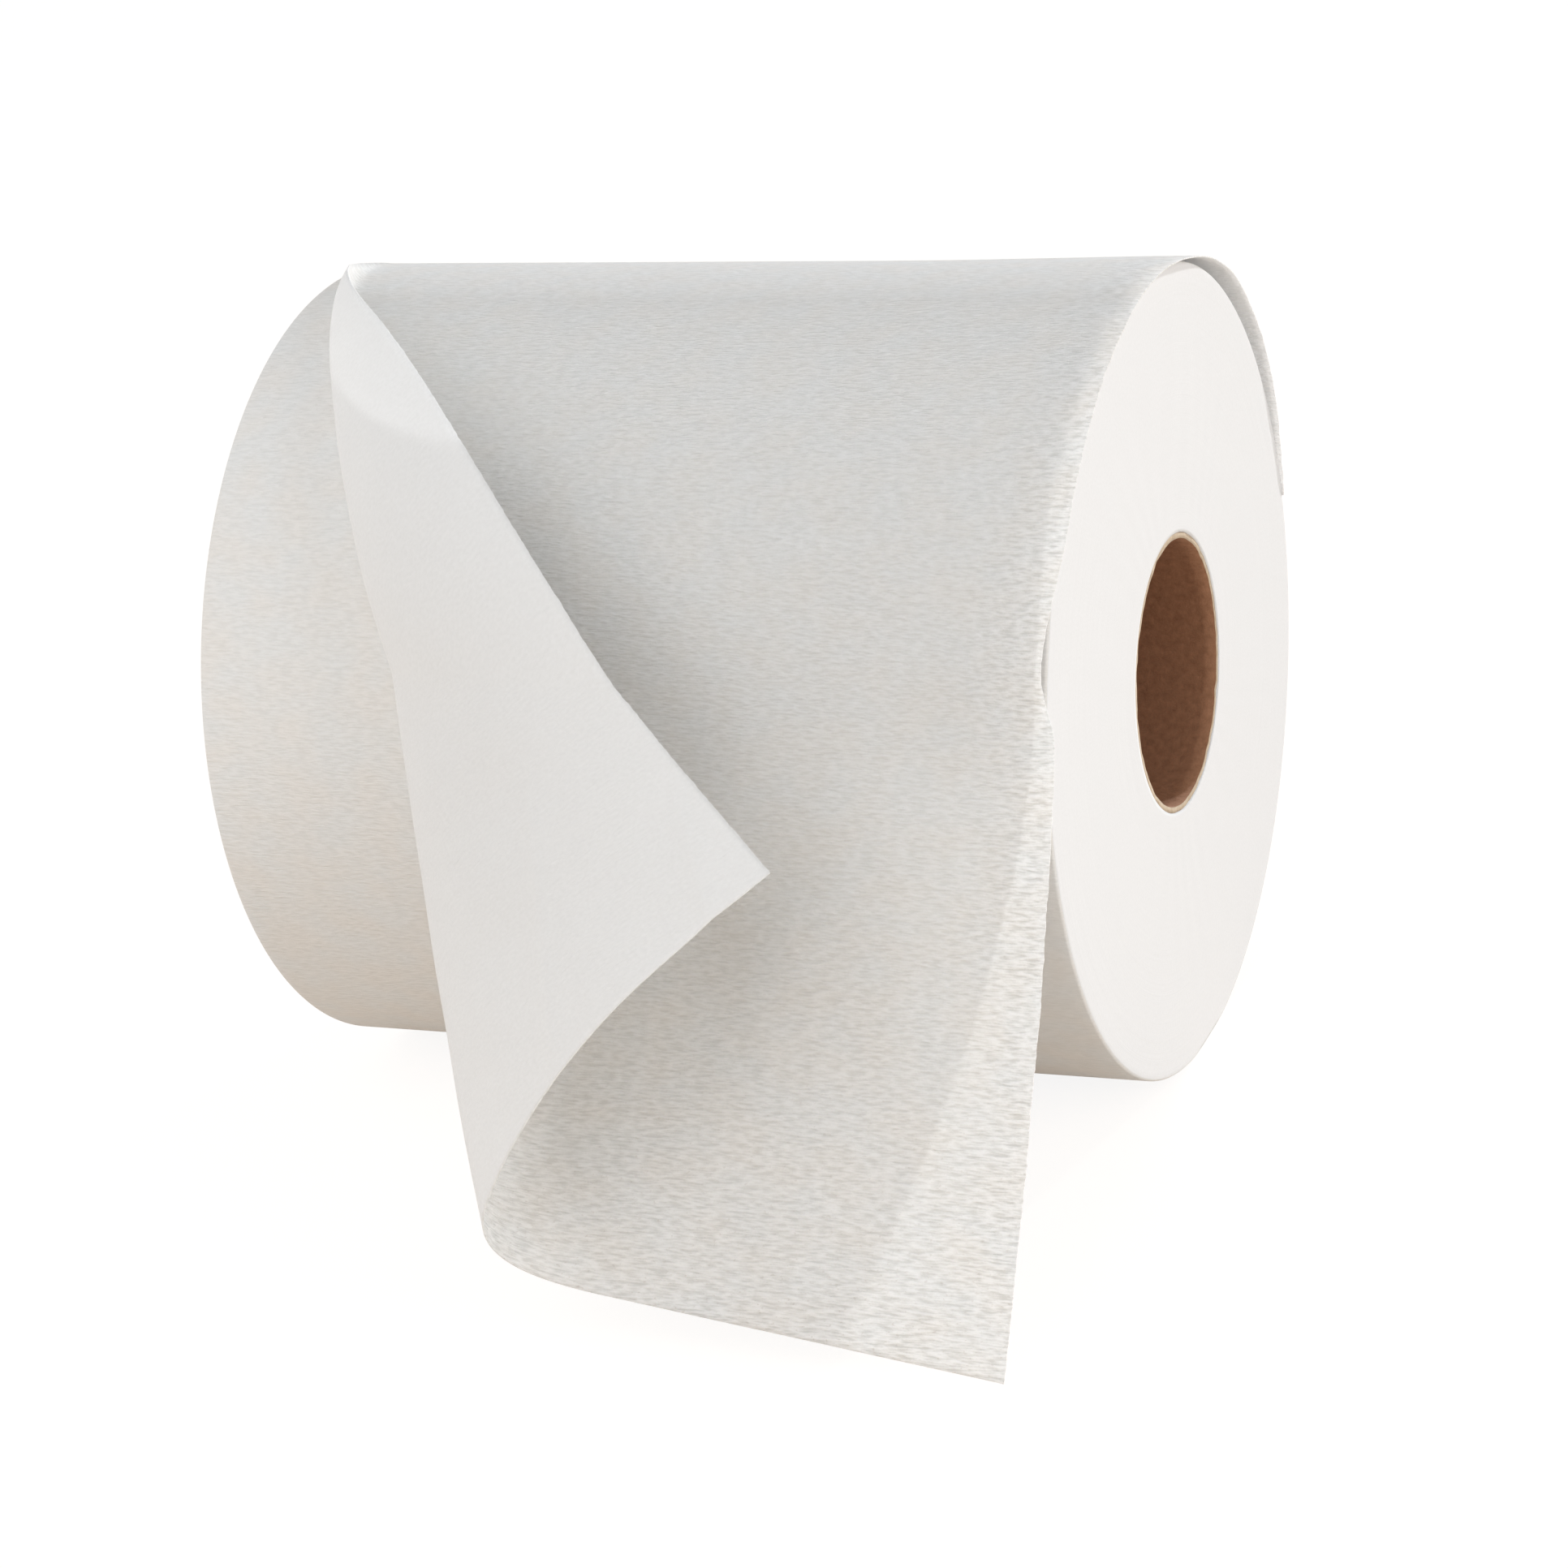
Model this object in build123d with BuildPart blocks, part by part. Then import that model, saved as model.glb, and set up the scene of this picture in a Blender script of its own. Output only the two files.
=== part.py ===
from build123d import *
import os
from math import acos, cos, degrees, radians, sin, sqrt, tan

os.makedirs("parts", exist_ok=True)

# Paper towel roll lying on its side, millimetres, +Z up.
# +X runs along the roll's axis, the free sheet comes off towards -Y,
# and the origin is on the table, in the middle of the roll's flat spot.

# Wound roll
roll_diameter = 185.0
web_width = 200.0
flat_width = 27.0          # flat spot where the soft roll sags on the table
turn_pitch = 18.0          # spacing of the turn lines that show on the end faces
turn_line = 0.6            # width of a turn line
turn_depth = 0.4

# Cardboard core
core_bore = 61.0
core_wall = 1.3
core_recess = 0.5          # the tube ends this far inside the end faces
core_seat = 0.1            # gap between the tube and the first turn

# Slack last turn and free sheet
sheet_thickness = 0.6
turn_slack = 2.0           # how far the last turn's circle is off the roll's centre
turn_bite = 0.2            # how deep the last turn runs into the roll where it merges
slack_start = 60.0         # degrees from there to where the last turn comes loose
overhang = 3.0             # sideways shift of the last turn, past the right end face
overhang_fade = 0.7        # share of the radius, behind the top, where the overhang has died away
leave_angle = 69.7         # degrees from the top to where the sheet leaves the roll
tail_radius = 354.0        # the free sheet sweeps forward along this radius
tail_lift = 2.4            # the sheet's lowest corner above the table
end_slant = 9.1            # degrees, slant of the torn end across the sheet

# Corner folded over at the left
fold_start = 3.7           # along the sheet, from the top of the roll
fold_angle = 20.4          # degrees between the fold and the sheet's own length
fold_bow = 9.7             # how far the fold bows to the right halfway down
fold_radius_top = 2.6
fold_radius_foot = 21.9
fold_spread = 1.23         # width of the fold against its height, at its foot
fold_rise = 60.0           # degrees, angle at which the fold lifts off the sheet
fold_facets = 6            # flat strips that make the bend of the fold
fold_turn_top = 142.8      # degrees turned by the end of the fold
fold_turn_foot = 133.1
flap_angle = 26.0          # degrees between the fold and the flap's free edge
flap_edge = 216.7          # length of the flap's free edge
flap_curl_top = 28.0       # radius of the flap beyond the fold
flap_curl_foot = 74.3
flap_hem = 3.0             # what is left of the flap at the foot of the fold
fold_first = 12.0          # distance of the first section from the start of the fold
fold_sections = 12         # sections from the start of the fold to the flap's tip
foot_sections = 4          # sections from the flap's tip to the foot of the fold
fold_root = 0.4            # width of the sheet's edge that the fold grows out of
cut_steps = 11             # points on the cut along the fold, down to its foot
view_rise = 40.0           # degrees above level, looking square on to the sheet

# Worked out from the sizes above
roll_radius = roll_diameter / 2
axis_height = sqrt(roll_radius**2 - (flat_width / 2) ** 2)
core_radius = core_bore / 2 + core_wall
half_width = web_width / 2
sheet_left = -half_width + overhang
sheet_right = half_width + overhang
half_sheet = sheet_thickness / 2
leave = radians(leave_angle)

# The last turn's circle, to the middle of the paper: it merges with the roll opposite where it leaves
loose_radius = roll_radius + turn_slack - half_sheet - turn_bite
loose_centre = (turn_slack * sin(leave), axis_height + turn_slack * cos(leave))
tail_centre = (
    loose_centre[0] + (loose_radius + tail_radius) * sin(leave),
    loose_centre[1] + (loose_radius + tail_radius) * cos(leave),
)
tail_end = acos((tail_centre[1] - tail_lift) / (tail_radius + half_sheet))


def sheet_point(x, along):
    """Point on the middle of the paper, with its forward direction and outward normal."""
    leave_at = loose_radius * leave
    if along < leave_at:
        turn = along / loose_radius
        reach = loose_centre[0] + loose_radius * sin(turn)
        height = loose_centre[1] + loose_radius * cos(turn)
    else:
        turn = leave - (along - leave_at) / tail_radius
        reach = tail_centre[0] - tail_radius * sin(turn)
        height = tail_centre[1] - tail_radius * cos(turn)
    forward = Vector(0, -cos(turn), -sin(turn))
    outward = Vector(0, -sin(turn), cos(turn))
    return Vector(x, -reach, height), forward, outward


def fold_plane(distance):
    """Plane across the fold: x to the left along the paper, y out of the paper."""
    slope = radians(fold_angle)
    share = distance / foot_at
    x = sheet_left + distance * sin(slope) + fold_bow * 4 * share * (1 - share)
    point, forward, outward = sheet_point(x, fold_start + distance * cos(slope))
    along_fold = Vector(sin(slope), 0, 0) + forward * cos(slope)
    leftward = Vector(-cos(slope), 0, 0) + forward * sin(slope)
    return Plane(origin=point, x_dir=leftward, z_dir=along_fold * -1)


# Flap outline, measured along the fold
tip_at = flap_edge * cos(radians(flap_angle))
foot_at = flap_edge / (cos(radians(fold_angle)) - tan(radians(end_slant)) * sin(radians(fold_angle)))


def fold_value(distance, top, foot):
    """Value that runs evenly from the start of the fold to its foot."""
    return top + (foot - top) * distance / foot_at


def hook_point(distance, turn, offset):
    """Point of a slice where the paper has turned by this angle, offset from its middle."""
    radius = fold_value(distance, fold_radius_top, fold_radius_foot)
    turned = radians(fold_value(distance, fold_turn_top, fold_turn_foot))
    curl = fold_value(distance, flap_curl_top, flap_curl_foot)
    rise = radians(fold_rise)
    centre = Vector(-sin(rise), cos(rise)) * radius
    if turn > turned:
        centre = centre + Vector(sin(turned), -cos(turned)) * (radius - curl)
        radius = curl
    point = centre + Vector(sin(turn), -cos(turn)) * (radius + offset)
    return Vector(point.X * fold_value(distance, 1, fold_spread), point.Y)


def flap_section(distance, length):
    """Hook-shaped slice: the fold's tight bend in flat strips, then the flap's wide arc."""
    turned = radians(fold_value(distance, fold_turn_top, fold_turn_foot))
    sweep = length / fold_value(distance, flap_curl_top, flap_curl_foot)
    rise = radians(fold_rise)
    inner_fold = [Vector(0, 0)]
    outer_fold = [Vector(0, 0)]
    for facet in range(1, fold_facets + 1):
        turn = rise + (turned - rise) * facet / fold_facets
        inner_fold.append(hook_point(distance, turn, -half_sheet))
        outer_fold.append(hook_point(distance, turn, half_sheet))
    inner_flap = [hook_point(distance, turned + sweep * part, -half_sheet) for part in (0, 0.5, 1)]
    outer_flap = [hook_point(distance, turned + sweep * part, half_sheet) for part in (0, 0.5, 1)]
    with BuildSketch(fold_plane(distance)) as section:
        with BuildLine():
            Polyline(*inner_fold)
            ThreePointArc(*inner_flap)
            Line(inner_flap[-1], outer_flap[-1])
            ThreePointArc(*outer_flap)
            Polyline(*outer_fold)
        make_face()
    return section.sketch


def flap_length(distance):
    """Length of the flap beyond the fold's bend, out to its free edge."""
    radius = fold_value(distance, fold_radius_top, fold_radius_foot)
    turned = radians(fold_value(distance, fold_turn_top, fold_turn_foot))
    return distance * tan(radians(flap_angle)) - radius * turned / 2


# Cardboard core tube
with BuildPart() as core_tube:
    with BuildSketch(Plane.YZ.offset(-half_width + core_recess)):
        with Locations((0, axis_height)):
            Circle(core_radius)
            Circle(core_bore / 2, mode=Mode.SUBTRACT)
    extrude(amount=web_width - 2 * core_recess)

core_tube.part.label = "core_tube"
export_step(core_tube.part, "parts/core_tube.step")

# Paper web
with BuildPart() as paper_web:
    # Last turn and free sheet, one band of constant thickness
    loose_at = (-loose_centre[0], loose_centre[1])
    tail_at = (-tail_centre[0], tail_centre[1])
    merge_at = leave_angle - 90
    slack_at = merge_at + slack_start
    tail_sweep = degrees(leave - tail_end)
    with BuildSketch(Plane.YZ.offset(sheet_left)):
        with BuildLine():
            inner_turn = CenterArc(loose_at, loose_radius - half_sheet, slack_at, 180 - slack_start)
            inner_tail = CenterArc(tail_at, tail_radius + half_sheet, leave_angle - 90, -tail_sweep)
            outer_tail = CenterArc(tail_at, tail_radius - half_sheet, leave_angle - 90, -tail_sweep)
            outer_turn = CenterArc(loose_at, loose_radius + half_sheet, slack_at, 180 - slack_start)
            Line(inner_tail @ 1, outer_tail @ 1)
            Line(outer_turn @ 0, inner_turn @ 0)
        make_face()
    extrude(amount=web_width)

    # The torn end slants across the sheet, from its right corner
    sheet_end = loose_radius * leave + tail_radius * radians(tail_sweep)
    corner, forward, outward = sheet_point(sheet_right, sheet_end)
    slant = radians(end_slant)
    end_plane = Plane(origin=corner, x_dir=outward, z_dir=forward * cos(slant) + Vector(-sin(slant), 0, 0))
    split(bisect_by=end_plane, keep=Keep.BOTTOM)

    # The overhang dies away over the back of the roll, where the last turn comes loose
    fade_end = overhang_fade * roll_radius
    with BuildSketch(Plane.XY):
        with BuildLine():
            Polyline(
                (sheet_right, 0),
                (sheet_right, roll_diameter),
                (half_width, roll_diameter),
                (half_width, fade_end),
                close=True,
            )
        make_face()
    extrude(amount=roll_diameter * 2, mode=Mode.SUBTRACT)

    # Paper to the left of the fold is taken away, seen square on to the sheet
    view = Plane(
        origin=(0, 0, axis_height),
        x_dir=(1, 0, 0),
        z_dir=(0, -cos(radians(view_rise)), sin(radians(view_rise))),
    )
    cut_line = []
    for step in range(cut_steps + 2):
        plane = fold_plane(foot_at * step / cut_steps)
        root = view.to_local_coords(plane.origin + plane.x_dir * fold_root)
        cut_line.append((root.X, root.Y))
    cut_left = sheet_left - web_width
    with BuildSketch(view):
        with BuildLine():
            Spline(*cut_line)
            Polyline(cut_line[-1], (cut_left, cut_line[-1][1]), (cut_left, cut_line[0][1]), cut_line[0])
        make_face()
    extrude(amount=roll_diameter * 2, mode=Mode.SUBTRACT)

    # Fold and flap, up to the flap's tip and then down to the foot of the fold
    for step in range(fold_sections):
        distance = fold_first + (tip_at - fold_first) * step / (fold_sections - 1)
        add(flap_section(distance, flap_length(distance)))
    loft()
    for step in range(foot_sections):
        share = step / (foot_sections - 1)
        length = flap_length(tip_at) * (1 - share) + flap_hem * share
        add(flap_section(tip_at + (foot_at - tip_at) * share, length))
    loft(ruled=True)

    # Wound turns with the start of the last turn on them, flat where the roll rests
    with BuildSketch(Plane.YZ.offset(-half_width)):
        with BuildLine():
            last_turn = CenterArc(loose_at, loose_radius + half_sheet, merge_at, slack_start)
            under_turn = CenterArc(loose_at, roll_radius - 2 * turn_slack, merge_at, slack_start)
            Line(last_turn @ 0, under_turn @ 0)
            Line(last_turn @ 1, under_turn @ 1)
        make_face()
        with Locations((0, axis_height)):
            Circle(roll_radius)
            Circle(core_radius + core_seat, mode=Mode.SUBTRACT)
        Rectangle(roll_diameter, roll_radius, align=(Align.CENTER, Align.MAX), mode=Mode.SUBTRACT)
    extrude(amount=web_width)

    # Turn lines on the end faces: one spiral of half circles about two centres
    first_turn = core_radius + turn_pitch
    half_turns = int((roll_radius - first_turn) / turn_pitch * 2)
    for face_at, inward in ((half_width, -turn_depth), (-half_width, turn_depth)):
        with BuildSketch(Plane.YZ.offset(face_at)):
            with BuildLine() as spiral:
                for half in range(half_turns):
                    shift = turn_pitch / 2 * (half % 2)
                    CenterArc((shift, axis_height), first_turn + turn_pitch / 2 * half, 180 * half, 180)
            trace(spiral.line, turn_line)
        extrude(amount=inward, mode=Mode.SUBTRACT)

paper_web.part.label = "paper_web"
export_step(paper_web.part, "parts/paper_web.step")
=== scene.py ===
import math

import bpy
import numpy as np
from mathutils import Matrix, Vector


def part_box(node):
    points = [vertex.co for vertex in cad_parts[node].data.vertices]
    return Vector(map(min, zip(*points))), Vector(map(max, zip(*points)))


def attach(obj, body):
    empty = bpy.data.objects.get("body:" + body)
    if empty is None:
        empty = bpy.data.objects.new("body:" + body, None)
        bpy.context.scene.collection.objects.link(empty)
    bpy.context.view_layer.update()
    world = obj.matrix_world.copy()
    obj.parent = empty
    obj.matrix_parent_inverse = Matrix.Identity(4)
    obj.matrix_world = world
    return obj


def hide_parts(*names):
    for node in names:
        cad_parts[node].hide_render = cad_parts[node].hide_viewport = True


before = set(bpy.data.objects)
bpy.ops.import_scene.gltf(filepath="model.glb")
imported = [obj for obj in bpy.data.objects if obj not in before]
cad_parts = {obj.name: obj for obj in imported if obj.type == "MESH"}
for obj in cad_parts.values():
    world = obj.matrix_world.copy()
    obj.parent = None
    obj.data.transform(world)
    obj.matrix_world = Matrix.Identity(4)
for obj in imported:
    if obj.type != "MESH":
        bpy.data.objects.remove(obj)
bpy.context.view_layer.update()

mm = 0.001
rng = np.random.default_rng(7)

# sizes that the frame already holds, in millimetres
webLow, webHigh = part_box("paper_web")
coreLow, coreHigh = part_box("core_tube")
rollRadius = webHigh.y / mm
halfWidth = -webLow.x / mm
axisHeight = (coreLow.z + coreHigh.z) / 2 / mm
coreRadius = (coreHigh.z - coreLow.z) / 2 / mm
coreHalf = coreHigh.x / mm
print("frame: roll radius", round(rollRadius, 2), "half width", round(halfWidth, 2))


def smoothStep(low, high, value):  # 0 below low, 1 above high, eased between them
    t = np.clip((value - low) / (high - low), 0.0, 1.0)
    return t * t * (3 - 2 * t)


def ripples(count, pitchLow, pitchHigh, angleSpread):  # random sine waves: direction over pitch, and phase
    angles = rng.normal(0, angleSpread, count)
    pitches = rng.uniform(pitchLow, pitchHigh, count)
    return np.cos(angles) / pitches, np.sin(angles) / pitches, rng.uniform(0, 1, count)


def waveSum(waves, first, second):  # the sine waves added up over two flat coordinates, to a height of about 1
    total = np.zeros_like(first)
    for alongFirst, alongSecond, phase in zip(*waves):
        total += np.sin(2 * math.pi * (first * alongFirst + second * alongSecond + phase))
    return total / math.sqrt(len(waves[2]))


def gridPiece(name, points, uv, closedRows=False, closedColumns=False):
    # quads over a grid of points: rows run down, columns across, and a closed way joins its end to its start
    rows, columns = points.shape[:2]
    rowEnd = rows if closedRows else rows - 1
    columnEnd = columns if closedColumns else columns - 1
    row, column = np.meshgrid(np.arange(rowEnd), np.arange(columnEnd), indexing="ij")
    down, right = (row + 1) % rows, (column + 1) % columns
    quads = np.stack([
        row * columns + column, down * columns + column, down * columns + right, row * columns + right,
    ], -1)
    mesh = bpy.data.meshes.new(name)
    mesh.from_pydata((points.reshape(-1, 3) * mm).tolist(), [], quads.reshape(-1, 4).tolist())
    corners = np.stack([uv[row, column], uv[row + 1, column], uv[row + 1, column + 1], uv[row, column + 1]], 2)
    layer = mesh.uv_layers.new(name="webUV")
    layer.data.foreach_set("uv", corners.reshape(-1).astype(np.float32))
    mesh.polygons.foreach_set("use_smooth", np.ones(len(mesh.polygons), bool))
    mesh.update()
    piece = bpy.data.objects.new(name, mesh)
    bpy.context.scene.collection.objects.link(piece)
    return piece


def gridUv(first, second):  # one corner more each way, so that a closed seam keeps its own coordinate
    return np.stack(np.meshgrid(first, second, indexing="ij"), -1) * mm


# shader helpers

def newGroup(name, inputs, outputs):
    group = bpy.data.node_groups.new(name, "ShaderNodeTree")
    for label, kind in inputs:
        group.interface.new_socket(label, in_out="INPUT", socket_type=kind)
    for label, kind in outputs:
        group.interface.new_socket(label, in_out="OUTPUT", socket_type=kind)
    return group, group.nodes.new("NodeGroupInput"), group.nodes.new("NodeGroupOutput")


def placeGroup(tree, group, flat):
    node = tree.nodes.new("ShaderNodeGroup")
    node.node_tree = group
    tree.links.new(flat, node.inputs["Flat"])
    return node


def math2(tree, operation, first, second=None):
    node = tree.nodes.new("ShaderNodeMath")
    node.operation = operation
    for socket, value in zip(node.inputs, (first, second)):
        if value is None:
            continue
        if isinstance(value, (int, float)):
            socket.default_value = value
        else:
            tree.links.new(value, socket)
    return node.outputs[0]


def splitFlat(tree, flat):  # the two flat coordinates by themselves, across and along the web
    node = tree.nodes.new("ShaderNodeSeparateXYZ")
    tree.links.new(flat, node.inputs[0])
    return node.outputs["X"], node.outputs["Y"]


def noise(tree, vector, detail, rough=0.5):
    node = tree.nodes.new("ShaderNodeTexNoise")
    node.inputs["Scale"].default_value = 1.0
    node.inputs["Detail"].default_value = detail
    node.inputs["Roughness"].default_value = rough
    tree.links.new(vector, node.inputs["Vector"])
    return node.outputs["Fac"]


def stretched(tree, vector, across, along):  # scales the two flat coordinates, given as 1/mm
    node = tree.nodes.new("ShaderNodeMapping")
    node.inputs["Scale"].default_value = (across / mm, along / mm, 1)
    tree.links.new(vector, node.inputs["Vector"])
    return node.outputs["Vector"]


def ramp(tree, value, low, high):  # stretches a value so that low becomes 0 and high 1
    node = tree.nodes.new("ShaderNodeMapRange")
    node.inputs["From Min"].default_value = low
    node.inputs["From Max"].default_value = high
    tree.links.new(value, node.inputs["Value"])
    return node.outputs["Result"]


def mixColour(tree, factor, first, second):
    node = tree.nodes.new("ShaderNodeMix")
    node.data_type = "RGBA"
    for socket, value in ((node.inputs["Factor"], factor), (node.inputs[6], first), (node.inputs[7], second)):
        if isinstance(value, (int, float, tuple)):
            socket.default_value = value
        else:
            tree.links.new(value, socket)
    return node.outputs[2]


def bump(tree, shader, height, distance):
    node = tree.nodes.new("ShaderNodeBump")
    node.inputs["Distance"].default_value = distance * mm
    tree.links.new(height, node.inputs["Height"])
    tree.links.new(node.outputs["Normal"], shader.inputs["Normal"])


def newMaterial(name, roughness, specular):
    material = bpy.data.materials.new(name)
    material.use_nodes = True
    tree = material.node_tree
    shader = tree.nodes["Principled BSDF"]
    shader.inputs["Roughness"].default_value = roughness
    shader.inputs["Specular IOR Level"].default_value = specular
    flat = tree.nodes.new("ShaderNodeUVMap")
    flat.uv_map = "webUV"
    return material, tree, shader, flat.outputs["UV"]


# towel paper

paperLook = {
    "roughness": 0.92,
    "specular": 0.2,
    "crepePitch": 0.78,      # mm, half the distance between wrinkles along the web
    "crepeLength": 3.2,      # mm, half the length of a wrinkle
    "crepeHeight": 0.4,      # mm, depth given to the bump
    "fine": (1.7, 2.1),      # times as many finer wrinkles, across and along the web
    "fineShare": 0.5,
    "fuzz": (2.2, 2.6),      # per mm, loose fibres
    "fuzzShare": 0.16,
    "cloud": (0.09, 0.09),   # per mm, broad patches of uneven fibre
    "grain": (1.1, 1.3),     # per mm
    "grainRough": 0.6,
    "grainSpan": (0.3, 0.7),  # part of the grain that goes from the dark colour to the light one
}

faceLook = {
    "depth": 0.75,           # mm, how far light spreads inside the thin sheet
    "ridgeSpan": (0.62, 0.98),  # heights of the wrinkles from hollow to ridge
    "plain": ((0.80, 0.795, 0.775, 1), (0.885, 0.88, 0.868, 1)),  # painted shade in the hollows and painted highlight on the ridges
    "backlitMarked": ((0.71, 0.705, 0.69, 1), (0.925, 0.92, 0.91, 1)),  # the same with deeper painted shade and brighter painted highlight, where light from behind shows the wrinkles more
    "backlitAlongSpan": (0.15, 0.26),  # m along the web, from where the free sheet is painted as lit from behind: stronger wrinkles and flecks
    "backlitAcrossSpan": (0.082, 0.1),  # m across the web, where the right edge is painted as lit from behind, with stronger wrinkles
    "cloudSpan": (0.35, 0.65),
    "tints": ((1, 0.984, 0.966, 1), (0.985, 0.995, 1, 1)),  # warm and cool patches
    # flecks painted where the sheet hangs free, standing in for light from behind showing through the thin
    # sheet
    "showThroughSpan": (0.63, 0.74),
    "showThroughShare": 0.35,
    "showThroughColour": (0.45, 0.4, 0.36, 1),
    # m along the web, where the sheet's start is painted lighter and the roll beside it painted darker, to even
    # out the shade step where the sheet that lets light through meets the roll: from, full, gone again, and the
    # colour
    "sheetJoinEvenShade": (-0.07, -0.135, -0.2, (0.965, 0.96, 0.945, 1)),
    "rollJoinEvenShade": (0.56, 0.43, 0.4, (0.79, 0.785, 0.77, 1)),
    "sheetStrength": 1.0,    # how strongly the wrinkles show, in bump and in painted shade
    "rollStrength": 0.45,
    "sheetGlow": 1.0,        # share of light that goes through the sheet, and none through hard-wound turns
    "rollGlow": 0.0,
}

reverseLook = {
    "depth": 1.0,            # mm, how far light spreads inside the thin sheet
    "glow": 1.0,
    "colours": ((0.832, 0.833, 0.83, 1), (0.866, 0.867, 0.866, 1)),
    "ribbedSpan": (0.01, 0.05),  # m across the web: smooth on the flap, ribbed to the right of it
    "ribbedLeast": 0.12,
    "ribbedHeight": 1.6,     # times the face's wrinkles
}

endLook = {
    "turns": (2.4, 0.012),   # per mm, edges of the wound turns: across them and along them
    "broad": (0.35, 0.02),
    "broadShare": 1.2,
    "colours": ((0.818, 0.822, 0.827, 1), (0.842, 0.846, 0.852, 1)),
    "roughness": 0.95,
    "relief": 0.03,          # mm
}


def makeCrepeGroup():
    # short wrinkles across the web: noise squeezed along the web, a finer one on top, and loose fibres
    group, start, end = newGroup("crepe", [("Flat", "NodeSocketVector")], [("Height", "NodeSocketFloat")])
    p = paperLook
    flat = start.outputs["Flat"]
    across, along = 1 / p["crepeLength"], 1 / p["crepePitch"]
    wide = noise(group, stretched(group, flat, across, along), 1.0)
    fine = noise(group, stretched(group, flat, p["fine"][0] * across, p["fine"][1] * along), 0.0)
    fuzz = noise(group, stretched(group, flat, *p["fuzz"]), 0.0)
    ridges = math2(group, "ADD", wide, math2(group, "MULTIPLY", fine, p["fineShare"]))
    height = math2(group, "ADD", ridges, math2(group, "MULTIPLY", fuzz, p["fuzzShare"]))
    group.links.new(height, end.inputs["Height"])
    return group


def makeFormationGroup():
    # uneven fibre: broad cloudy patches and a fine grain, each a value about 0.5
    group, start, end = newGroup(
        "formation",
        [("Flat", "NodeSocketVector")],
        [("Cloud", "NodeSocketFloat"), ("Grain", "NodeSocketFloat")],
    )
    p = paperLook
    flat = start.outputs["Flat"]
    cloud = noise(group, stretched(group, flat, *p["cloud"]), 1.0)
    grain = noise(group, stretched(group, flat, *p["grain"]), 1.0, p["grainRough"])
    group.links.new(cloud, end.inputs["Cloud"])
    group.links.new(grain, end.inputs["Grain"])
    return group


crepeGroup = makeCrepeGroup()
formationGroup = makeFormationGroup()


def letThrough(shader, glow, depth):  # light that enters the paper and leaves it on either side
    shader.inputs["Subsurface Weight"].default_value = glow
    shader.inputs["Subsurface Radius"].default_value = (1.0, 1.0, 1.0)
    shader.inputs["Subsurface Scale"].default_value = depth * mm


def makeTowelFace(name, strength, glow, join):
    p, f = paperLook, faceLook
    material, tree, shader, flat = newMaterial(name, p["roughness"], p["specular"])
    crepe = placeGroup(tree, crepeGroup, flat)
    formation = placeGroup(tree, formationGroup, flat)
    across, along = splitFlat(tree, flat)
    # painted shade and highlight: the crepe's hollows get a darker colour, its ridges a lighter one
    ridge = math2(tree, "MULTIPLY", ramp(tree, crepe.outputs["Height"], *f["ridgeSpan"]), strength)
    ridge = math2(tree, "ADD", ridge, 1 - strength)
    # painted light: the lower free sheet and the right edge get the stronger shade and highlight of light
    # shining through from behind
    low = ramp(tree, along, *f["backlitAlongSpan"])
    edge = ramp(tree, across, *f["backlitAcrossSpan"])
    backlitShown = math2(tree, "MULTIPLY", math2(tree, "MAXIMUM", low, edge), strength)
    wrinklesShaded = mixColour(tree, backlitShown, mixColour(tree, ridge, *f["plain"]), mixColour(tree, ridge, *f["backlitMarked"]))
    # painted light and shade at the join: the sheet's start is lightened and the roll beside it darkened, so
    # their shading meets
    joinFrom, joinFull, joinGone, evenShadeColour = join
    nearJoin = ramp(tree, along, joinFrom, joinFull)
    nearJoin = math2(tree, "MULTIPLY", nearJoin, ramp(tree, along, joinGone, joinFull))
    joinShadeEvened = mixColour(tree, nearJoin, wrinklesShaded, evenShadeColour)
    tint = mixColour(tree, ramp(tree, formation.outputs["Cloud"], *f["cloudSpan"]), *f["tints"])
    tinted = mixColour(tree, 1.0, joinShadeEvened, tint)
    tinted.node.blend_type = "MULTIPLY"
    # painted show-through: brownish flecks on the lower free sheet for the light from behind
    showThroughFleck = math2(tree, "MULTIPLY", low, f["showThroughShare"] * strength)
    showThroughFleck = math2(tree, "MULTIPLY", ramp(tree, formation.outputs["Grain"], *f["showThroughSpan"]), showThroughFleck)
    tree.links.new(mixColour(tree, showThroughFleck, tinted, f["showThroughColour"]), shader.inputs["Base Color"])
    letThrough(shader, glow, f["depth"])
    bump(tree, shader, crepe.outputs["Height"], p["crepeHeight"] * strength)
    return material


def makeTowelReverse():
    p, r = paperLook, reverseLook
    material, tree, shader, flat = newMaterial("towelReverse", p["roughness"], p["specular"])
    crepe = placeGroup(tree, crepeGroup, flat)
    formation = placeGroup(tree, formationGroup, flat)
    colour = mixColour(tree, ramp(tree, formation.outputs["Grain"], *p["grainSpan"]), *r["colours"])
    tree.links.new(colour, shader.inputs["Base Color"])
    letThrough(shader, r["glow"], r["depth"])
    across, along = splitFlat(tree, flat)
    ribbed = math2(tree, "MAXIMUM", ramp(tree, across, *r["ribbedSpan"]), r["ribbedLeast"])
    height = math2(tree, "MULTIPLY", crepe.outputs["Height"], ribbed)
    bump(tree, shader, height, p["crepeHeight"] * r["ribbedHeight"])
    return material


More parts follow.
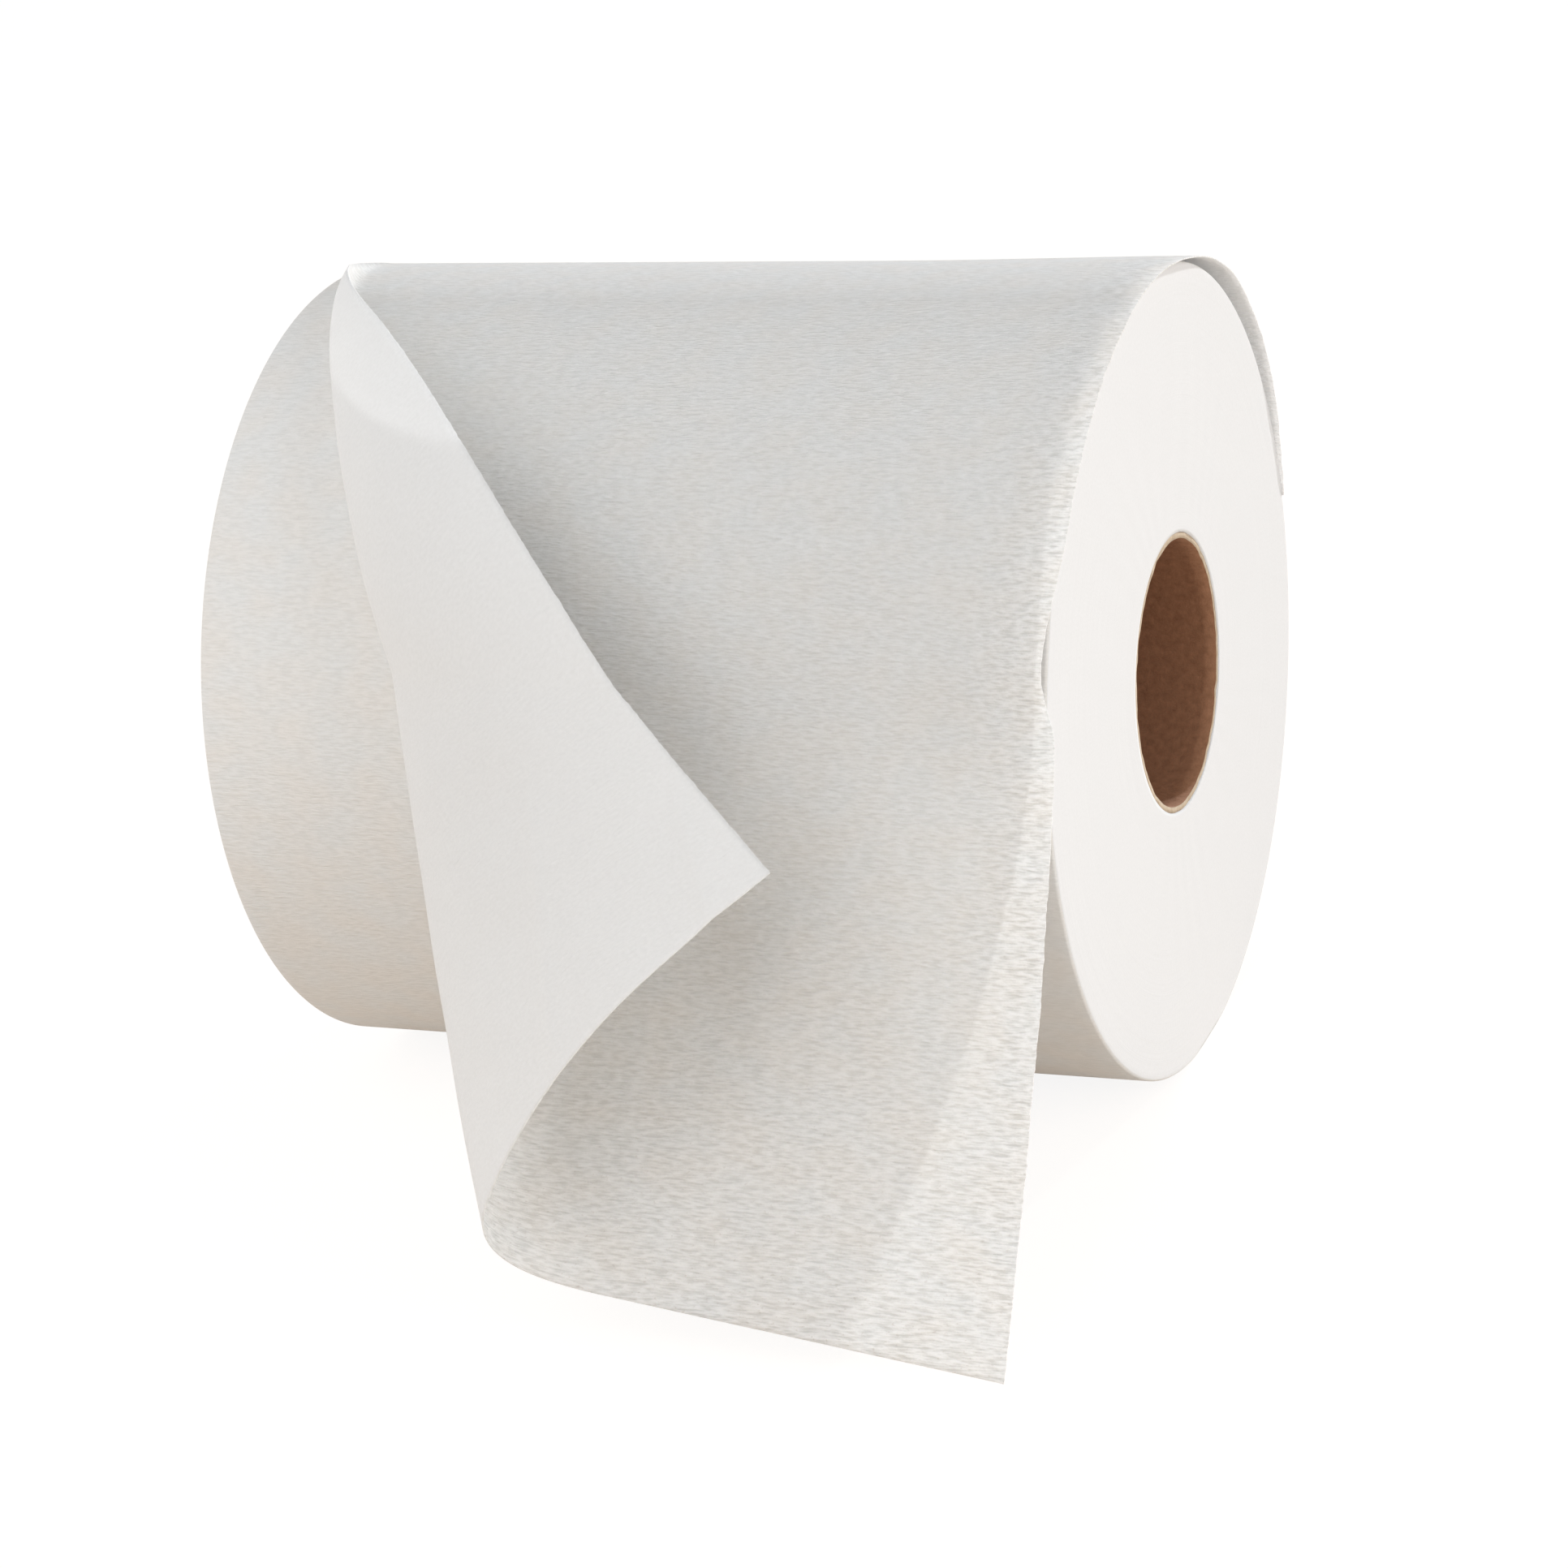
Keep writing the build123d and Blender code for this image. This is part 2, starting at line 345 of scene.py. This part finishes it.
def makeTowelEnd():
    # edges of the turns: one noise drawn out along them, and a broader one under it
    p, e = paperLook, endLook
    material, tree, shader, flat = newMaterial("towelEnd", e["roughness"], p["specular"])
    formation = placeGroup(tree, formationGroup, flat)
    turns = noise(tree, stretched(tree, flat, *e["turns"]), 2.0)
    broad = noise(tree, stretched(tree, flat, *e["broad"]), 2.0)
    height = math2(tree, "ADD", turns, math2(tree, "MULTIPLY", broad, e["broadShare"]))
    colour = mixColour(tree, ramp(tree, formation.outputs["Grain"], *p["grainSpan"]), *e["colours"])
    tree.links.new(colour, shader.inputs["Base Color"])
    bump(tree, shader, height, e["relief"])
    return material


towelFace = makeTowelFace("towelFace", faceLook["sheetStrength"], faceLook["sheetGlow"], faceLook["sheetJoinEvenShade"])
towelSide = makeTowelFace("towelSide", faceLook["rollStrength"], faceLook["rollGlow"], faceLook["rollJoinEvenShade"])
towelReverse = makeTowelReverse()
towelEnd = makeTowelEnd()
print("paper materials made")


# wound roll

rollSettings = {
    "columns": 384,
    "faceRows": 70,
    "sideRows": 90,
    "edgeRound": 0.7,        # mm, the soft rim where side and end meet
    "edgeSteps": 5,
    "seat": 0.1,             # mm between the core and the first turn
    "turnCount": 160,
    "turnRelief": 0.012,     # mm, turns that stand proud of the end face
    "reliefSway": 0.3,       # share of the relief that comes and goes round the roll
    "reliefWaves": 2,
    "reliefTwist": 0.15,     # radians per mm outwards
    "pleatCount": 34,
    "pleatDepth": 0.04,      # mm, soft radial pleats between the core and the rim
    "pleatSway": 3,          # radians, unevenness of the pleats' places
    "pleatWaves": 5,
    "pleatTwist": 0.05,
    "pleatRise": 8,          # mm from the core to where the pleats are full
    "pleatFade": (25, 8),    # mm inside the rim, where they begin to fade and where they are gone
    "onFace": 0.01,          # mm, what counts as lying on the end face
}


def makeWoundRoll():
    # a profile of reach and radius, carried round the axis; z stops at the table, for the flat spot
    s = rollSettings
    bore = coreRadius + s["seat"]
    edge = s["edgeRound"]
    quarter = np.linspace(0, math.pi / 2, s["edgeSteps"])[1:-1]
    radii = np.linspace(bore, rollRadius - edge, s["faceRows"])
    turnRadii = np.linspace(bore, rollRadius, s["turnCount"])
    turnStep = np.interp(radii, turnRadii, rng.normal(0, 1, s["turnCount"])) * s["turnRelief"]
    sides = np.linspace(halfWidth - edge, edge - halfWidth, s["sideRows"])
    reach = np.concatenate([
        np.full(len(radii), halfWidth), halfWidth - edge + edge * np.cos(quarter), sides,
        edge - halfWidth - edge * np.sin(quarter), np.full(len(radii), -halfWidth),
    ])
    radius = np.concatenate([
        radii, rollRadius - edge + edge * np.sin(quarter), np.full(len(sides), rollRadius),
        rollRadius - edge + edge * np.cos(quarter), radii[::-1],
    ])
    relief = np.concatenate([turnStep, np.zeros(2 * len(quarter) + len(sides)), -turnStep[::-1]])
    angle = np.linspace(0, 2 * math.pi, s["columns"], endpoint=False) + math.pi
    reachGrid, angleGrid = np.meshgrid(reach, angle, indexing="ij")
    radiusGrid = np.broadcast_to(radius[:, None], angleGrid.shape)
    comes = np.sin(angleGrid * s["reliefWaves"] + radiusGrid * s["reliefTwist"])
    reliefGrid = relief[:, None] * (1 - s["reliefSway"] + s["reliefSway"] * comes)
    uneven = s["pleatSway"] * np.sin(angleGrid * s["pleatWaves"] + radiusGrid * s["pleatTwist"])
    pleats = np.sin(angleGrid * s["pleatCount"] + uneven)
    fadeFrom, fadeTo = (rollRadius - v for v in s["pleatFade"])
    window = smoothStep(bore, bore + s["pleatRise"], radiusGrid)
    window = window * (1 - smoothStep(fadeFrom, fadeTo, radiusGrid))
    facing = np.where(np.abs(reachGrid) > halfWidth - s["onFace"], np.sign(reachGrid), 0)
    reachGrid = reachGrid + reliefGrid - facing * s["pleatDepth"] * window * (0.5 + 0.5 * pleats)
    y = radiusGrid * np.sin(angleGrid)
    z = np.maximum(axisHeight + radiusGrid * np.cos(angleGrid), 0)
    points = np.stack([reachGrid, y, z], -1)
    path = np.concatenate([[0], np.cumsum(np.hypot(np.diff(reach), np.diff(radius)))])
    path = np.append(path, path[-1] + 2 * halfWidth)
    around = np.linspace(0, 2 * math.pi, s["columns"] + 1) * rollRadius
    uv = gridUv(path, around)
    piece = gridPiece("woundRoll", points[:, ::-1], uv[:, ::-1], closedRows=True, closedColumns=True)
    piece.data.materials.append(towelSide)
    piece.data.materials.append(towelEnd)
    onEnd = np.zeros(len(path) - 1, int)
    onEnd[:len(radii)] = 1
    onEnd[-len(radii):] = 1
    piece.data.polygons.foreach_set("material_index", np.repeat(onEnd, s["columns"]))
    return piece


woundRoll = makeWoundRoll()
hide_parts("paper_web")
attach(woundRoll, "root")
print("wound roll made:", len(woundRoll.data.polygons), "faces")


# slack last turn, free sheet and folded corner: one web, with lengths along it counted from the top of the roll

sheetSettings = {
    "acrossCount": 150,
    "alongCount": 300,
    "backPart": 6,           # one row in this many lies behind the top
    "thickness": 0.35,
    "slack": 2.0,            # mm, the last turn's circle is this far off the roll's centre
    "bite": 0.5,             # mm, its middle line runs this deep where it merges
    "mergeMargin": 25.0,     # degrees from the merging point to the first row
    "leaveAngle": 70.43,     # degrees from the top to where the sheet leaves the roll
    "tailRadius": 223.8,     # mm, bend of the free sheet where it leaves
    "tailEase": 1.597e-5,    # per square mm, how the bend straightens out
    "tailSpan": 260.0,       # mm of free sheet in the profile
    "profileCount": 4000,
    "endAlong": 257.1,       # mm to the torn end at the right corner
    "endSlope": 0.141,
    "overhang": 3.0,         # mm past the right end face, and what is left of it behind the roll
    "overhangBack": 1.3,
    "overhangSpan": (-60.0, -16.0),  # mm along, from the smaller to the full overhang
    "startSpan": (-20.0, 30.0),  # mm from the first row, where the smaller one begins
    "seatGap": (0.2, 0.7),   # mm from the roll to its middle line over the top, at the left and the right edge
    "seatAcross": 30.0,      # mm across, where the gap begins to grow
    "seatSpan": (20.0, 105.0),  # mm along, where it rises off the roll
    "bulge": 4.0,            # mm, the slack turn stands off the roll behind its right end
    "bulgeAcross": 10.0,
    "bulgeRise": 45.0,       # mm from the first row
    "bulgeFade": (-75.0, -25.0),
    "notch": 3.2,            # mm, the right edge draws in just above the point where it leaves
    "notchRise": (80.0, 111.0),
    "notchFade": (112.0, 127.0),
    "notchWidth": 30.0,
    "foldStart": 4.9,        # mm along
    "foldAngle": 24.6,       # degrees off the sheet's own length
    "foldSway": 7.3,         # mm, the fold line's upper end bends to the right
    "swayFrom": -11.0,       # mm along
    "swayTo": 49.0,
    "swayMost": 1.25,        # times that length, where the bend stops growing behind the top
    "foldSpan": 260.0,       # mm along the fold between the two values of each pair
    "foldMost": 1.2,         # times that span, where they stop changing
    "foldRadius": (3.0, 14.0),
    "foldTurn": (139.4, 132.5),
    "flapCurl": (31.4, 102.0),
    "leastSweep": 1e-6,      # radians, keeps a flap of no length from dividing by zero
    "flare": 0.001876,       # per mm, the sheet spreads below the point it leaves
    "veer": 0.0108,
    "edgeTear": 0.07,        # mm, ragged cut of the long edges
    "tearWidth": 2.0,
    "billow": 0.3,           # mm, soft unevenness of the loose paper
    "billowWaves": (9, 24, 70, 1.5),  # how many, shortest and longest pitch in mm, spread of direction
    "billowSpan": (20.0, 130.0),
    # start and end of each crease, across and along in mm, and its height
    "creases": (((-92.3, 204.3), (-83.4, 229.8), 1.4), ((-68.7, 180.4), (-42.9, 230.4), 1.0)),
    "creaseWidth": 2.5,
    "creaseFade": (12.0, 4.0),  # mm past its ends and before them
}


def tailProfile():
    # reach forward, height and turn of the web against its length: a circle, then a bend that eases off
    s = sheetSettings
    leave = math.radians(s["leaveAngle"])
    looseRadius = rollRadius + s["slack"] - s["bite"]
    centre = (s["slack"] * math.sin(leave), axisHeight + s["slack"] * math.cos(leave))
    leaveAlong = looseRadius * leave
    along = np.linspace(-looseRadius * math.pi, leaveAlong + s["tailSpan"], s["profileCount"])
    past = np.maximum(along - leaveAlong, 0)
    turn = np.where(past > 0, leave - past / s["tailRadius"] + s["tailEase"] * past**2, along / looseRadius)
    step = along[1] - along[0]
    free = past > 0
    reach = np.where(free, 0, centre[0] + looseRadius * np.sin(turn))
    height = np.where(free, 0, centre[1] + looseRadius * np.cos(turn))
    first = int(np.argmax(free))
    reach[first:] = reach[first - 1] + np.cumsum(np.cos(turn[first:])) * step
    height[first:] = height[first - 1] - np.cumsum(np.sin(turn[first:])) * step
    return along, reach, height, turn, leaveAlong, looseRadius


def foldOver(x, along, left):
    # rolls the flat web over the fold line like a cone of growing radius, then lets the flap curl on
    s = sheetSettings
    fold = math.radians(s["foldAngle"])
    sway = (s["swayTo"] - along) / (s["swayTo"] - s["swayFrom"])
    sway = s["foldSway"] * np.clip(sway, 0, s["swayMost"]) ** 2
    x = x - sway
    foldDown = (x - left) * math.sin(fold) + (along - s["foldStart"]) * math.cos(fold)
    foldOff = -(x - left) * math.cos(fold) + (along - s["foldStart"]) * math.sin(fold)
    down = np.clip(foldDown / s["foldSpan"], 0, s["foldMost"])
    radius = s["foldRadius"][0] + (s["foldRadius"][1] - s["foldRadius"][0]) * down
    turned = np.radians(s["foldTurn"][0] + (s["foldTurn"][1] - s["foldTurn"][0]) * down)
    curl = 1 / s["flapCurl"][0] + (1 / s["flapCurl"][1] - 1 / s["flapCurl"][0]) * down
    onArc = foldOff + radius * turned / 2
    bend = np.clip(onArc / radius, 0, turned)
    over = np.maximum(onArc - radius * turned, 0)
    sweep = np.maximum(curl * over, s["leastSweep"])
    side = np.where(onArc < 0, onArc, radius * np.sin(bend))
    side = side + over * (np.sin(turned + sweep) - np.sin(turned)) / sweep
    lift = radius * (1 - np.cos(bend)) - over * (np.cos(turned + sweep) - np.cos(turned)) / sweep
    off = side - radius * turned / 2
    x = left + math.sin(fold) * foldDown - math.cos(fold) * off + sway
    along = s["foldStart"] + math.cos(fold) * foldDown + math.sin(fold) * off
    return x, along, lift


def creaseLift(flatAcross, flatAlong):  # a sharp ridge along each crease, faded at its ends
    s = sheetSettings
    outside, inside = s["creaseFade"]
    total = np.zeros_like(flatAcross)
    for (startX, startAlong), (endX, endAlong), depth in s["creases"]:
        goX, goAlong = endX - startX, endAlong - startAlong
        length = math.hypot(goX, goAlong)
        run = ((flatAcross - startX) * goX + (flatAlong - startAlong) * goAlong) / length
        aside = ((flatAcross - startX) * goAlong - (flatAlong - startAlong) * goX) / length
        ends = smoothStep(-outside, inside, run) * (1 - smoothStep(length - inside, length + outside, run))
        total = total + depth * np.exp(-np.abs(aside) / s["creaseWidth"]) * ends
    return total


def makeLooseSheet():
    # flat web coordinates, folded over, shifted sideways, then carried along the profile and lifted
    s = sheetSettings
    profile, reach, height, turn, leaveAlong, looseRadius = tailProfile()
    left, right = s["overhang"] - halfWidth, s["overhang"] + halfWidth
    begin = -looseRadius * math.radians(180 - s["leaveAngle"] - s["mergeMargin"])
    backRows = s["alongCount"] // s["backPart"]
    share = np.concatenate([np.linspace(begin, 0, backRows, endpoint=False),
                            np.linspace(0, s["endAlong"], s["alongCount"] - backRows)])
    flatX = np.linspace(left, right, s["acrossCount"])
    along, x = np.meshgrid(share, flatX, indexing="ij")
    nearEnd = smoothStep(0, s["endAlong"], along) * np.maximum(along, 0) / s["endAlong"]
    along = along - s["endSlope"] * (right - x) * nearEnd
    flatAlong, flatAcross = along.copy(), x.copy()
    x, along, lift = foldOver(x, along, left)

    past = np.maximum(along - leaveAlong, 0)
    x = right + (x - right) * (1 + s["flare"] * past) + s["veer"] * past
    x = x - (s["overhang"] - s["overhangBack"]) * (1 - smoothStep(*s["overhangSpan"], along))
    startFrom, startTo = (begin + v for v in s["startSpan"])
    x = x - s["overhangBack"] * (1 - smoothStep(startFrom, startTo, along))
    drawn = smoothStep(*s["notchRise"], flatAlong) * (1 - smoothStep(*s["notchFade"], flatAlong))
    x = x - s["notch"] * drawn * smoothStep(right - s["notchWidth"], right, flatAcross)
    atRight = smoothStep(right - s["tearWidth"], right, flatAcross)
    atLeft = 1 - smoothStep(left, left + s["tearWidth"], flatAcross)
    x = x + s["edgeTear"] * rng.normal(0, 1, (len(share), 1)) * atRight
    x = x + s["edgeTear"] * rng.normal(0, 1, (len(share), 1)) * atLeft

    turnAt = np.interp(along, profile, turn)
    gap = s["slack"] * (1 + np.cos(math.radians(s["leaveAngle"]) - along / looseRadius)) - s["bite"]
    seatLeft, seatRight = s["seatGap"]
    seat = seatLeft + (seatRight - seatLeft) * smoothStep(s["seatAcross"], right, flatAcross)
    lift = lift - np.maximum(gap - seat, 0) * (1 - smoothStep(*s["seatSpan"], along))
    slackBack = smoothStep(begin, begin + s["bulgeRise"], along) * (1 - smoothStep(*s["bulgeFade"], along))
    lift = lift + s["bulge"] * slackBack * smoothStep(s["bulgeAcross"], right, flatAcross)
    soft = waveSum(ripples(*s["billowWaves"]), flatAcross, flatAlong)
    lift = lift + s["billow"] * soft * smoothStep(*s["billowSpan"], flatAlong)
    lift = lift + creaseLift(flatAcross, flatAlong)
    forward = np.interp(along, profile, reach) + lift * np.sin(turnAt)
    up = np.interp(along, profile, height) + lift * np.cos(turnAt)
    points = np.stack([x, -forward, up], -1)

    uv = np.stack([flatAcross, flatAlong], -1) * mm
    piece = gridPiece("looseSheet", points, uv)
    piece.data.materials.append(towelFace)
    piece.data.materials.append(towelReverse)
    wall = piece.modifiers.new("paper", "SOLIDIFY")
    wall.thickness = s["thickness"] * mm
    wall.offset = 0
    wall.material_offset = 1
    flatArea = 2 * halfWidth * (s["endAlong"] - begin - s["endSlope"] * halfWidth) * mm * mm
    return piece, (2 * halfWidth * mm, (s["endAlong"] - begin) * mm), flatArea


looseSheet, sheetFlat, sheetArea = makeLooseSheet()
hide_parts("paper_web")
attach(looseSheet, "root")
print("loose sheet made:", len(looseSheet.data.polygons), "faces, flat", [round(v, 3) for v in sheetFlat])


# cardboard core

coreSettings = {
    "columns": 256,
    "rows": 60,
    "bore": 30.5,            # mm radius
    "flush": 0.4,            # mm, the swollen ends come level with the paper
    "fray": 0.12,            # mm, uneven cut of the tube's ends
    "frayCount": 90,
    "frayDepth": 4,          # mm in from the ends
}

boardLook = {
    "roughness": 0.85,
    "specular": 0.3,
    "inside": ((0.27, 0.13, 0.068, 1), (0.4, 0.2, 0.11, 1)),  # dark and light fibres
    "rim": ((0.5, 0.38, 0.26, 1), (0.68, 0.56, 0.42, 1)),
    "fibre": (0.5, 0.5),     # per mm
    "fibreDetail": 6.0,
    "fibreRough": 0.65,
    "fibreSpan": (0.3, 0.7),
    "relief": 0.2,           # mm
    "seamPitch": 110.0,      # mm along the tube for one turn of the spiral seam
    "seamTurn": 2 * math.pi * coreSettings["bore"],
    "seamPhase": 0.42,
    "seamWidth": 0.012,      # share of the pitch
    "seamDepth": 0.25,
    "seamDark": 0.3,         # times the dark fibres' colour
}


def makeCoreBoard(name, dark, light):
    # mottled fibres, and a dark line where the spiral strips of board meet
    b = boardLook
    material, tree, shader, flat = newMaterial(name, b["roughness"], b["specular"])
    fibres = noise(tree, stretched(tree, flat, *b["fibre"]), b["fibreDetail"], b["fibreRough"])
    plain = mixColour(tree, ramp(tree, fibres, *b["fibreSpan"]), dark, light)
    onTube, roundTube = splitFlat(tree, stretched(tree, flat, 1 / b["seamPitch"], 1 / b["seamTurn"]))
    spiral = math2(tree, "ADD", math2(tree, "ADD", onTube, roundTube), b["seamPhase"])
    away = math2(tree, "ABSOLUTE", math2(tree, "SUBTRACT", math2(tree, "FRACT", spiral), 0.5))
    seam = math2(tree, "MULTIPLY", ramp(tree, away, b["seamWidth"], 0.0), b["seamDepth"])
    seamColour = tuple(b["seamDark"] * v for v in dark[:3]) + (1,)
    tree.links.new(mixColour(tree, seam, plain, seamColour), shader.inputs["Base Color"])
    bump(tree, shader, fibres, b["relief"])
    return material


def makeCoreTube():
    # the wall's closed profile, inner run, end and outer run, carried round the axis, with uneven ends
    s = coreSettings
    half = coreHalf + s["flush"]
    inner = np.linspace(half, -half, s["rows"])
    reach = np.concatenate([inner, inner[::-1]])
    radius = np.concatenate([np.full(s["rows"], s["bore"]), np.full(s["rows"], coreRadius)])
    angle = np.linspace(0, 2 * math.pi, s["columns"], endpoint=False) + math.pi
    reachGrid, angleGrid = np.meshgrid(reach, angle, indexing="ij")
    radiusGrid = np.broadcast_to(radius[:, None], angleGrid.shape)
    frayAngles = np.linspace(math.pi, 3 * math.pi, s["frayCount"])
    jag = np.interp(angleGrid, frayAngles, np.abs(rng.normal(0, 1, s["frayCount"])))
    atEnd = smoothStep(half - s["frayDepth"], half, np.abs(reachGrid))
    reachGrid = reachGrid - np.sign(reachGrid) * atEnd * jag * s["fray"]
    y = radiusGrid * np.sin(angleGrid)
    z = axisHeight + radiusGrid * np.cos(angleGrid)
    points = np.stack([reachGrid, y, z], -1)
    path = np.concatenate([[0], np.cumsum(np.hypot(np.diff(reach), np.diff(radius)))])
    path = np.append(path, path[-1] + coreRadius - s["bore"])
    around = np.linspace(0, 2 * math.pi, s["columns"] + 1) * s["bore"]
    piece = gridPiece("coreTube", points, gridUv(path, around), closedRows=True, closedColumns=True)
    piece.data.materials.append(makeCoreBoard("coreBoard", *boardLook["inside"]))
    piece.data.materials.append(makeCoreBoard("coreRim", *boardLook["rim"]))
    atRim = np.zeros(len(reach), int)
    atRim[s["rows"] - 1] = 1
    atRim[-1] = 1
    piece.data.polygons.foreach_set("material_index", np.repeat(atRim, s["columns"]))
    return piece


coreTube = makeCoreTube()
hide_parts("core_tube")
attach(coreTube, "root")
print("core tube made:", len(coreTube.data.polygons), "faces")


# floor, light and camera

stageSettings = {
    "floorSize": 8.0,        # m
    "floorColour": (0.9, 0.8, 0.7, 1),
    "floorRoughness": 1.0,
    "glow": 1.17,            # floor's own white for the camera, so that it meets the backdrop
    "glowShare": 0.75,
    "fill": 0.42,            # strength of the world's light
    "keyTurn": 17.5,         # degrees from straight behind towards the right end
    "keyRise": 7.0,
    "keyStrength": 2.0,
    "keySoft": 1.5,          # degrees across
    "keyColour": (0.96, 0.98, 1.0),
    "soft": ((-0.9, -1.5, 1.7), 3.0, 28.0),   # place and size in metres, power in watts
    "side": ((2.0, -0.5, 0.7), 1.6, 16.0),
}


def seenRays(tree):  # 1 for what the camera sees, by itself or in metal and glass
    path = tree.nodes.new("ShaderNodeLightPath")
    mirrored = math2(tree, "MAXIMUM", path.outputs["Is Glossy Ray"], path.outputs["Is Transmission Ray"])
    return math2(tree, "MAXIMUM", path.outputs["Is Camera Ray"], mirrored)


def makeFloor():
    # flat square about the origin
    s = stageSettings
    half = s["floorSize"] / 2 / mm
    side = np.array([-half, half])
    x, y = np.meshgrid(side, side, indexing="ij")
    floor = gridPiece("floor", np.stack([x, y, np.zeros_like(x)], -1), np.stack([x, y], -1) * mm)
    material = bpy.data.materials.new("floorWhite")
    material.use_nodes = True
    tree = material.node_tree
    shader = tree.nodes["Principled BSDF"]
    shader.inputs["Base Color"].default_value = s["floorColour"]
    shader.inputs["Roughness"].default_value = s["floorRoughness"]
    glow = tree.nodes.new("ShaderNodeEmission")
    glow.inputs["Strength"].default_value = s["glow"]
    mix = tree.nodes.new("ShaderNodeMixShader")
    tree.links.new(math2(tree, "MULTIPLY", seenRays(tree), s["glowShare"]), mix.inputs[0])
    tree.links.new(shader.outputs[0], mix.inputs[1])
    tree.links.new(glow.outputs[0], mix.inputs[2])
    tree.links.new(mix.outputs[0], tree.nodes["Material Output"].inputs["Surface"])
    floor.data.materials.append(material)


def makeWorld():
    # the fill's strength on the object, and white where the camera sees it
    fill = stageSettings["fill"]
    world = bpy.data.worlds.new("studio")
    bpy.context.scene.world = world
    world.use_nodes = True
    tree = world.node_tree
    sky = tree.nodes["Background"]
    level = math2(tree, "ADD", fill, math2(tree, "MULTIPLY", seenRays(tree), 1 - fill))
    sky.inputs["Color"].default_value = (1, 1, 1, 1)
    tree.links.new(level, sky.inputs["Strength"])


def makeKey():
    s = stageSettings
    turn, rise = math.radians(s["keyTurn"]), math.radians(s["keyRise"])
    toward = Vector((math.sin(turn) * math.cos(rise), math.cos(turn) * math.cos(rise), math.sin(rise)))
    lamp = bpy.data.lights.new("key", "SUN")
    lamp.energy = s["keyStrength"]
    lamp.angle = math.radians(s["keySoft"])
    lamp.color = s["keyColour"]
    key = bpy.data.objects.new("key", lamp)
    key.rotation_mode = "QUATERNION"
    key.rotation_quaternion = toward.to_track_quat("Z", "Y")
    bpy.context.scene.collection.objects.link(key)


def makeSoft(name):
    place, size, power = stageSettings[name]
    lamp = bpy.data.lights.new(name, "AREA")
    lamp.energy = power
    lamp.size = size
    soft = bpy.data.objects.new(name, lamp)
    place = Vector(place)
    toward = place - Vector((0, 0, axisHeight * mm))
    soft.matrix_world = Matrix.Translation(place) @ toward.to_track_quat("Z", "Y").to_matrix().to_4x4()
    bpy.context.scene.collection.objects.link(soft)


viewSettings = {
    "lens": 98.758,
    "sensor": 36.0,
    "turn": 24.085,          # degrees from straight in front towards the right end
    "rise": 22.502,
    "roll": -7.169,
    "aim": (4.229, -10.455, 64.301),
    "distance": 1011.09,
}


def makeCamera():
    s = viewSettings
    turn, rise, roll = (math.radians(s[k]) for k in ("turn", "rise", "roll"))
    back = Vector((math.sin(turn) * math.cos(rise), -math.cos(turn) * math.cos(rise), math.sin(rise)))
    level = Vector((math.cos(turn), math.sin(turn), 0))
    upright = back.cross(level)
    right = level * math.cos(roll) + upright * math.sin(roll)
    up = back.cross(right)
    lens = bpy.data.cameras.new("camera")
    lens.lens = s["lens"]
    lens.sensor_width = s["sensor"]
    camera = bpy.data.objects.new("camera", lens)
    place = Vector(s["aim"]) * mm + back * s["distance"] * mm
    camera.matrix_world = Matrix.Translation(place) @ Matrix((right, up, back)).transposed().to_4x4()
    bpy.context.scene.collection.objects.link(camera)
    bpy.context.scene.camera = camera


makeFloor()
makeWorld()
makeKey()
makeSoft("soft")
makeSoft("side")
makeCamera()
bpy.context.scene.view_settings.view_transform = "Standard"
print("stage, light and camera set")

bpy.context.view_layer.update()
